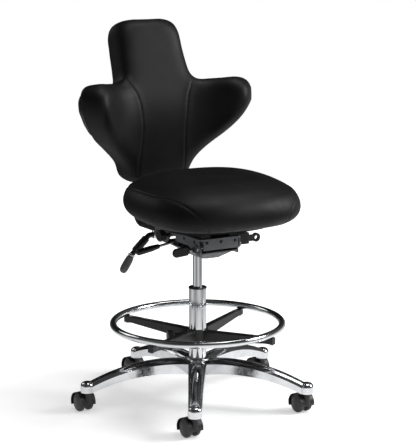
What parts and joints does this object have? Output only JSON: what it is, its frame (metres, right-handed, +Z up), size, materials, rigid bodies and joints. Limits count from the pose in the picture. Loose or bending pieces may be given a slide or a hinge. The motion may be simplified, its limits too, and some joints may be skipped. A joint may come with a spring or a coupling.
{
  "type": "surgeon chair",
  "caption": "Adjustable clinic chair: padded tilting seat, winged reclining backrest, foot ring on a gas column, and a star base on hooded casters.",
  "frame": {"origin": "on the floor under the column's axis", "axes": "+Z up along the column, -Y the way the sitter faces, -X the sitter's right"},
  "size_m": [0.6786, 0.6865, 1.1009],
  "materials": {
    "polished_aluminium": "polished casting",
    "chrome": "bright chrome plate",
    "zinc_steel": "zinc-plated steel",
    "grey_paint": "satin silver-grey powder coat",
    "black_paint": "black powder coat",
    "black_plastic": "moulded black nylon",
    "grey_plastic": "moulded grey nylon",
    "wheel_tread": "dark grey moulded wheel",
    "plywood": "plywood behind a black dust cloth",
    "vinyl": "smooth charcoal vinyl sewn over foam"
  },
  "bodies": {
    "base": {"star_base": "polished_aluminium", "stand_tube": "chrome", "column_bush": "black_plastic", "thrust_bearing": "zinc_steel"},
    "gas_rod": {"piston_rod": "chrome", "rod_clip": "zinc_steel"},
    "mechanism": {"gas_cylinder": "chrome", "taper_socket": "zinc_steel", "mechanism_pan": "grey_paint", "tilt_pin": "zinc_steel", "tilt_spring": "zinc_steel"},
    "release_pin": {"release_pin": "zinc_steel"},
    "height_lever": {"height_lever": "zinc_steel", "height_lever_paddle": "black_plastic"},
    "tilt_lever": {"tilt_lever": "zinc_steel", "tilt_lever_grip": "black_plastic"},
    "seat_frame": {"seat_frame": "grey_paint", "slider_rails": "black_paint", "recline_pin": "zinc_steel", "depth_latch": "black_paint"},
    "seat": {"seat_runners": "black_paint", "seat_board": "plywood", "seat_cushion": "vinyl", "seat_bolts": "zinc_steel"},
    "back_arm": {"back_bar": "black_paint", "bar_cap": "black_plastic"},
    "backrest": {"back_sleeve": "black_plastic", "back_shell": "black_plastic", "back_cushion": "vinyl", "back_bolts": "zinc_steel"},
    "back_lever": {"back_lever_collar": "chrome", "back_lever_arm": "grey_paint", "back_lever_grip": "grey_plastic"},
    "tension_knob": {"tension_knob": "black_plastic"},
    "depth_lever": {"depth_lever": "black_paint"},
    "foot_ring_collet": {"foot_ring_collet": "black_plastic"},
    "foot_ring": {"foot_ring_tube": "chrome", "foot_ring_spider": "black_paint", "foot_ring_screws": "zinc_steel"},
    "foot_ring_knob": {"foot_ring_knob": "black_plastic"},
    "caster_0": {"caster_hood_0": "black_plastic", "caster_pins_0": "zinc_steel"},
    "wheel_left_0": {"caster_wheel_left_0": "wheel_tread"},
    "wheel_right_0": {"caster_wheel_right_0": "wheel_tread"},
    "caster_1": {"caster_hood_1": "black_plastic", "caster_pins_1": "zinc_steel"},
    "wheel_left_1": {"caster_wheel_left_1": "wheel_tread"},
    "wheel_right_1": {"caster_wheel_right_1": "wheel_tread"},
    "caster_2": {"caster_hood_2": "black_plastic", "caster_pins_2": "zinc_steel"},
    "wheel_left_2": {"caster_wheel_left_2": "wheel_tread"},
    "wheel_right_2": {"caster_wheel_right_2": "wheel_tread"},
    "caster_3": {"caster_hood_3": "black_plastic", "caster_pins_3": "zinc_steel"},
    "wheel_left_3": {"caster_wheel_left_3": "wheel_tread"},
    "wheel_right_3": {"caster_wheel_right_3": "wheel_tread"},
    "caster_4": {"caster_hood_4": "black_plastic", "caster_pins_4": "zinc_steel"},
    "wheel_left_4": {"caster_wheel_left_4": "wheel_tread"},
    "wheel_right_4": {"caster_wheel_right_4": "wheel_tread"}
  },
  "joints": [
    {"name": "swivel", "type": "hinge", "parent": "base", "child": "gas_rod", "pos_m": [0, 0, 0], "axis": [0, 0, 1], "continuous": true},
    {"name": "lift", "type": "slide", "parent": "gas_rod", "child": "mechanism", "axis": [0, 0, 1], "range_m": [-0.058, 0.12]},
    {"name": "height_lever_pull", "type": "hinge", "parent": "mechanism", "child": "height_lever", "pos_m": [-0.034, 0, 0.4973], "axis": [0, 1, 0], "range_deg": [0, 4.5], "stiffness_Nm_per_rad": 2},
    {"name": "release_pin_press", "type": "slide", "parent": "mechanism", "child": "release_pin", "axis": [0, 0, -1], "range_m": [0, 0.003]},
    {"name": "tilt_lever_pull", "type": "hinge", "parent": "mechanism", "child": "tilt_lever", "pos_m": [-0.034, 0.026, 0.487], "axis": [0, 1, 0], "range_deg": [0, 10], "stiffness_Nm_per_rad": 2},
    {"name": "seat_tilt", "type": "hinge", "parent": "mechanism", "child": "seat_frame", "pos_m": [0, -0.112, 0.488], "axis": [1, 0, 0], "range_deg": [-3, 8]},
    {"name": "seat_depth", "type": "slide", "parent": "seat_frame", "child": "seat", "axis": [0, 1, 0], "range_m": [-0.03, 0.03]},
    {"name": "back_recline", "type": "hinge", "parent": "seat_frame", "child": "back_arm", "pos_m": [0, 0.12, 0.488], "axis": [1, 0, 0], "range_deg": [-18, 7]},
    {"name": "back_height", "type": "slide", "parent": "back_arm", "child": "backrest", "axis": [0, -0.1564, 0.9877], "range_m": [-0.02, 0.05]},
    {"name": "back_lever_turn", "type": "hinge", "parent": "seat_frame", "child": "back_lever", "pos_m": [-0.078, 0.12, 0.488], "axis": [1, 0, 0], "range_deg": [-15, 15]},
    {"name": "tension_turn", "type": "hinge", "parent": "seat_frame", "child": "tension_knob", "pos_m": [-0.08, 0.05, 0.498], "axis": [1, 0, 0], "continuous": true},
    {"name": "depth_lever_pull", "type": "hinge", "parent": "seat_frame", "child": "depth_lever", "pos_m": [0.1065, -0.07, 0.49], "axis": [0, -1, 0], "range_deg": [0, 10], "stiffness_Nm_per_rad": 1},
    {"name": "foot_ring_height", "type": "slide", "parent": "base", "child": "foot_ring_collet", "axis": [0, 0, 1], "range_m": [-0.04, 0.06]},
    {"name": "foot_ring_turn", "type": "hinge", "parent": "foot_ring_collet", "child": "foot_ring", "pos_m": [0, 0, 0.2], "axis": [0, 0, 1], "continuous": true},
    {"name": "foot_ring_knob_turn", "type": "hinge", "parent": "foot_ring", "child": "foot_ring_knob", "pos_m": [-0.05759, 0.01684, 0.2045], "axis": [-0.9598, 0.2807, 0], "continuous": true},
    {"name": "caster_swivel_0", "type": "hinge", "parent": "base", "child": "caster_0", "pos_m": [-0.17144, -0.28197, 0.061], "axis": [0, 0, 1], "continuous": true},
    {"name": "wheel_left_roll_0", "type": "hinge", "parent": "caster_0", "child": "wheel_left_0", "pos_m": [-0.17353, -0.25806, 0.027], "axis": [0.9962, 0.0872, 0], "continuous": true},
    {"name": "wheel_right_roll_0", "type": "hinge", "parent": "caster_0", "child": "wheel_right_0", "pos_m": [-0.17353, -0.25806, 0.027], "axis": [0.9962, 0.0872, 0], "continuous": true},
    {"name": "caster_swivel_1", "type": "hinge", "parent": "base", "child": "caster_1", "pos_m": [0.21519, -0.25018, 0.061], "axis": [0, 0, 1], "continuous": true},
    {"name": "wheel_left_roll_1", "type": "hinge", "parent": "caster_1", "child": "wheel_left_1", "pos_m": [0.2131, -0.22628, 0.027], "axis": [0.9962, 0.0872, 0], "continuous": true},
    {"name": "wheel_right_roll_1", "type": "hinge", "parent": "caster_1", "child": "wheel_right_1", "pos_m": [0.2131, -0.22628, 0.027], "axis": [0.9962, 0.0872, 0], "continuous": true},
    {"name": "caster_swivel_2", "type": "hinge", "parent": "base", "child": "caster_2", "pos_m": [0.30444, 0.12735, 0.061], "axis": [0, 0, 1], "continuous": true},
    {"name": "wheel_left_roll_2", "type": "hinge", "parent": "caster_2", "child": "wheel_left_2", "pos_m": [0.30235, 0.15126, 0.027], "axis": [0.9962, 0.0872, 0], "continuous": true},
    {"name": "wheel_right_roll_2", "type": "hinge", "parent": "caster_2", "child": "wheel_right_2", "pos_m": [0.30235, 0.15126, 0.027], "axis": [0.9962, 0.0872, 0], "continuous": true},
    {"name": "caster_swivel_3", "type": "hinge", "parent": "base", "child": "caster_3", "pos_m": [-0.02704, 0.32889, 0.061], "axis": [0, 0, 1], "continuous": true},
    {"name": "wheel_left_roll_3", "type": "hinge", "parent": "caster_3", "child": "wheel_left_3", "pos_m": [-0.02913, 0.3528, 0.027], "axis": [0.9962, 0.0872, 0], "continuous": true},
    {"name": "wheel_right_roll_3", "type": "hinge", "parent": "caster_3", "child": "wheel_right_3", "pos_m": [-0.02913, 0.3528, 0.027], "axis": [0.9962, 0.0872, 0], "continuous": true},
    {"name": "caster_swivel_4", "type": "hinge", "parent": "base", "child": "caster_4", "pos_m": [-0.32115, 0.07592, 0.061], "axis": [0, 0, 1], "continuous": true},
    {"name": "wheel_left_roll_4", "type": "hinge", "parent": "caster_4", "child": "wheel_left_4", "pos_m": [-0.32324, 0.09982, 0.027], "axis": [0.9962, 0.0872, 0], "continuous": true},
    {"name": "wheel_right_roll_4", "type": "hinge", "parent": "caster_4", "child": "wheel_right_4", "pos_m": [-0.32324, 0.09982, 0.027], "axis": [0.9962, 0.0872, 0], "continuous": true}
  ],
  "couplings": [
    {"joint": "release_pin_press", "follows": "height_lever_pull", "m_per_rad": 0.038}
  ]
}
